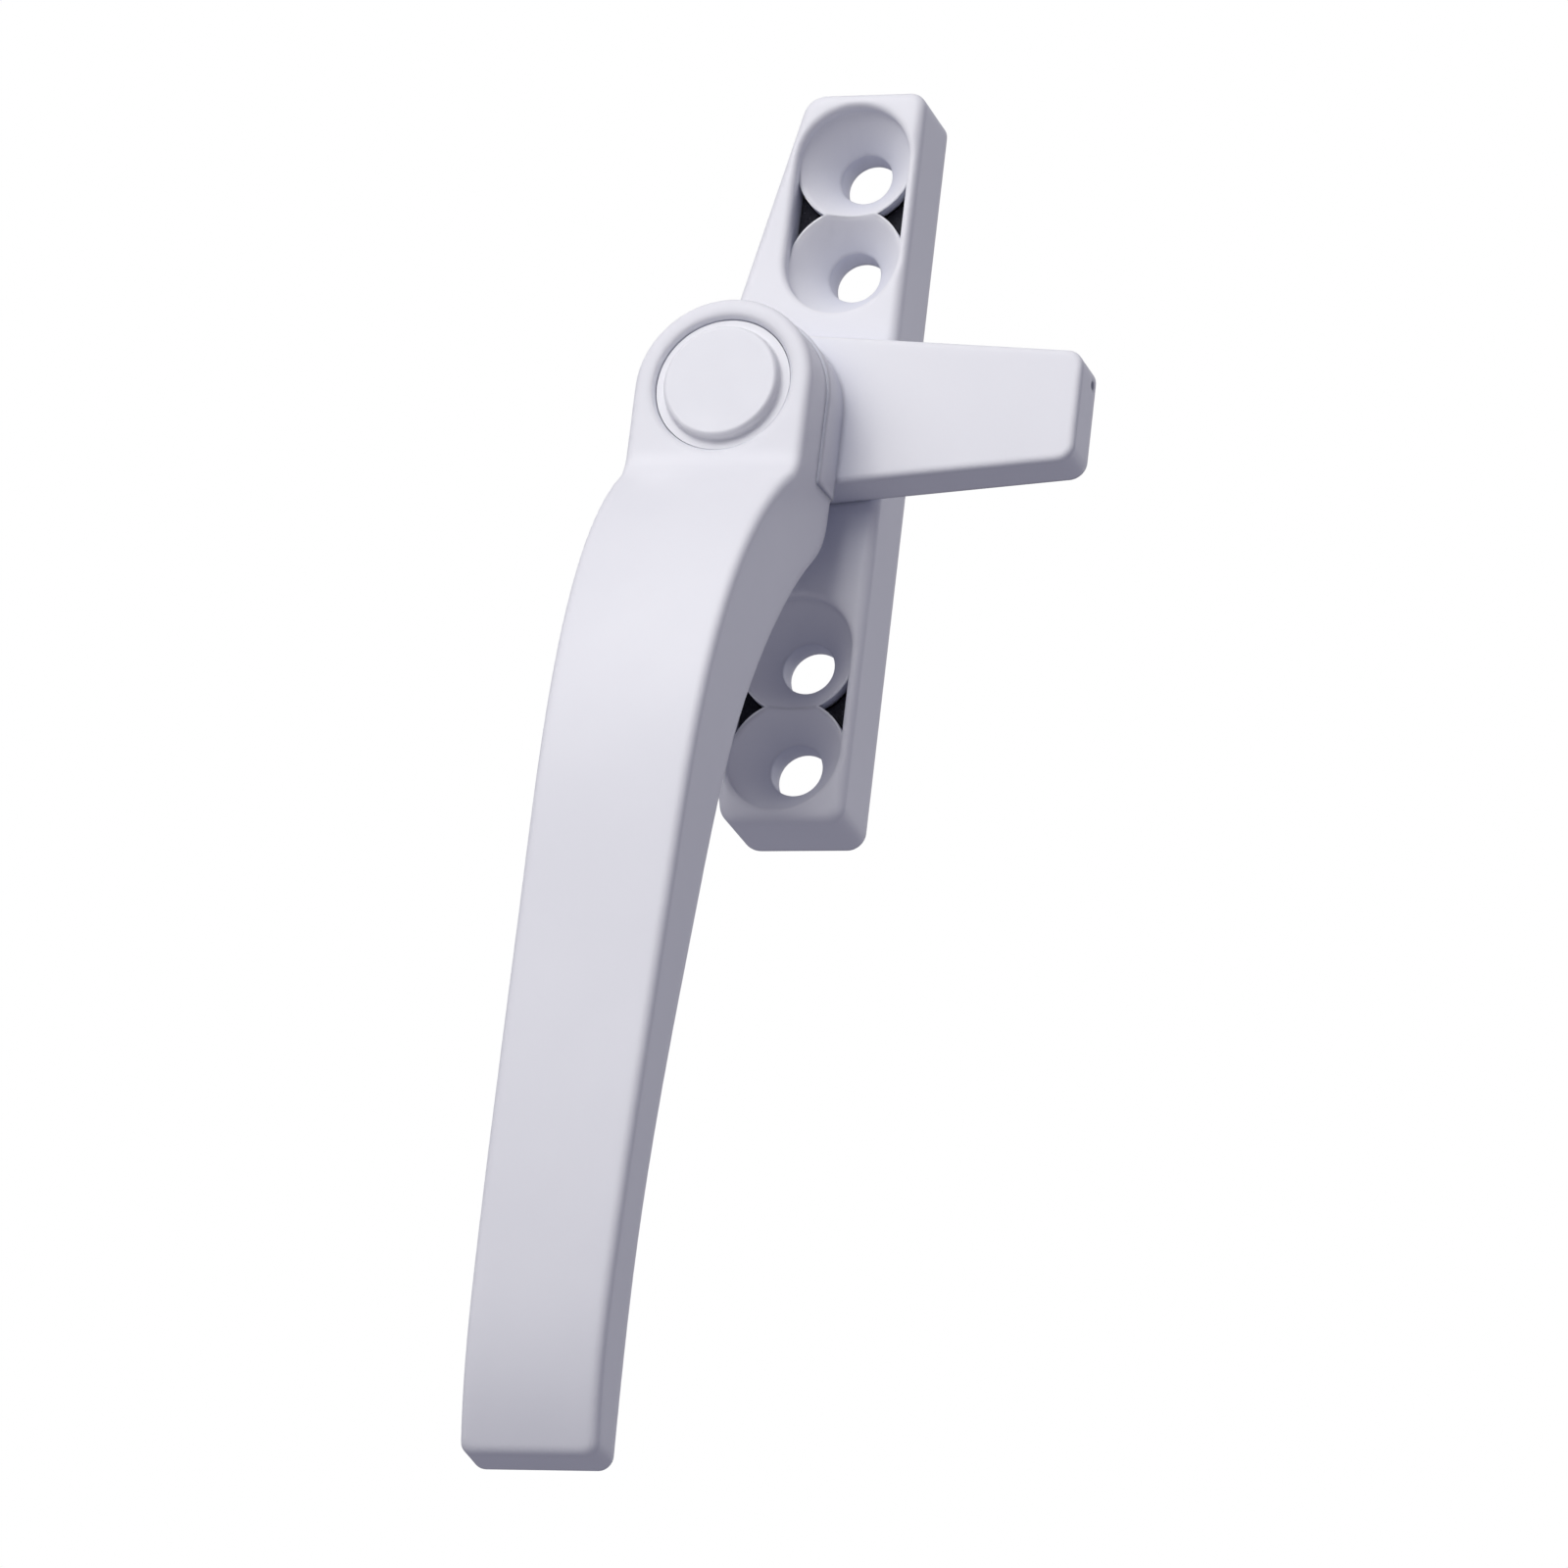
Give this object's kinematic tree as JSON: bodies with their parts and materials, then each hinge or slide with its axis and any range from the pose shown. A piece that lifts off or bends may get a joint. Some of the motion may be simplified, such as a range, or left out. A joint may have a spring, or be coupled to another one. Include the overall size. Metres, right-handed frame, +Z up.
{
  "type": "cockspur window handle",
  "caption": "Casement window handle with a tapered base plate, a drooping lever and a short locking tongue that turn together on one pivot.",
  "frame": {"origin": "middle of the fixing-hole pattern, on the face that meets the window frame", "axes": "+Z up the base plate, +X from the base plate towards the tongue's tip, +Y into the window frame, so the handle stands out towards -Y"},
  "size_m": [0.0441, 0.0411, 0.156],
  "materials": {
    "white_coating": "satin white powder coat",
    "gasket_rubber": "matt black",
    "bearing_nylon": "natural nylon",
    "zinc_plated_steel": "bright zinc plate",
    "cap_plastic": "satin white moulding"
  },
  "bodies": {
    "base": {"base_plate": "white_coating", "backing_gasket": "gasket_rubber", "bearing_bush": "bearing_nylon", "stop_pin": "zinc_plated_steel", "thrust_washer": "bearing_nylon"},
    "handle": {"tongue": "white_coating", "lever": "white_coating", "spindle": "zinc_plated_steel", "hub_cap": "cap_plastic", "drive_dowels": "zinc_plated_steel", "lever_screw": "zinc_plated_steel", "lock_washer": "zinc_plated_steel", "spring_washer": "zinc_plated_steel", "retaining_washer": "zinc_plated_steel", "retaining_ring": "zinc_plated_steel"}
  },
  "joints": [
    {"name": "handle_turn", "type": "hinge", "parent": "base", "child": "handle", "pos_m": [-0.0055, 0, 0.0013], "axis": [0, 1, 0], "range_deg": [0, 90]}
  ]
}
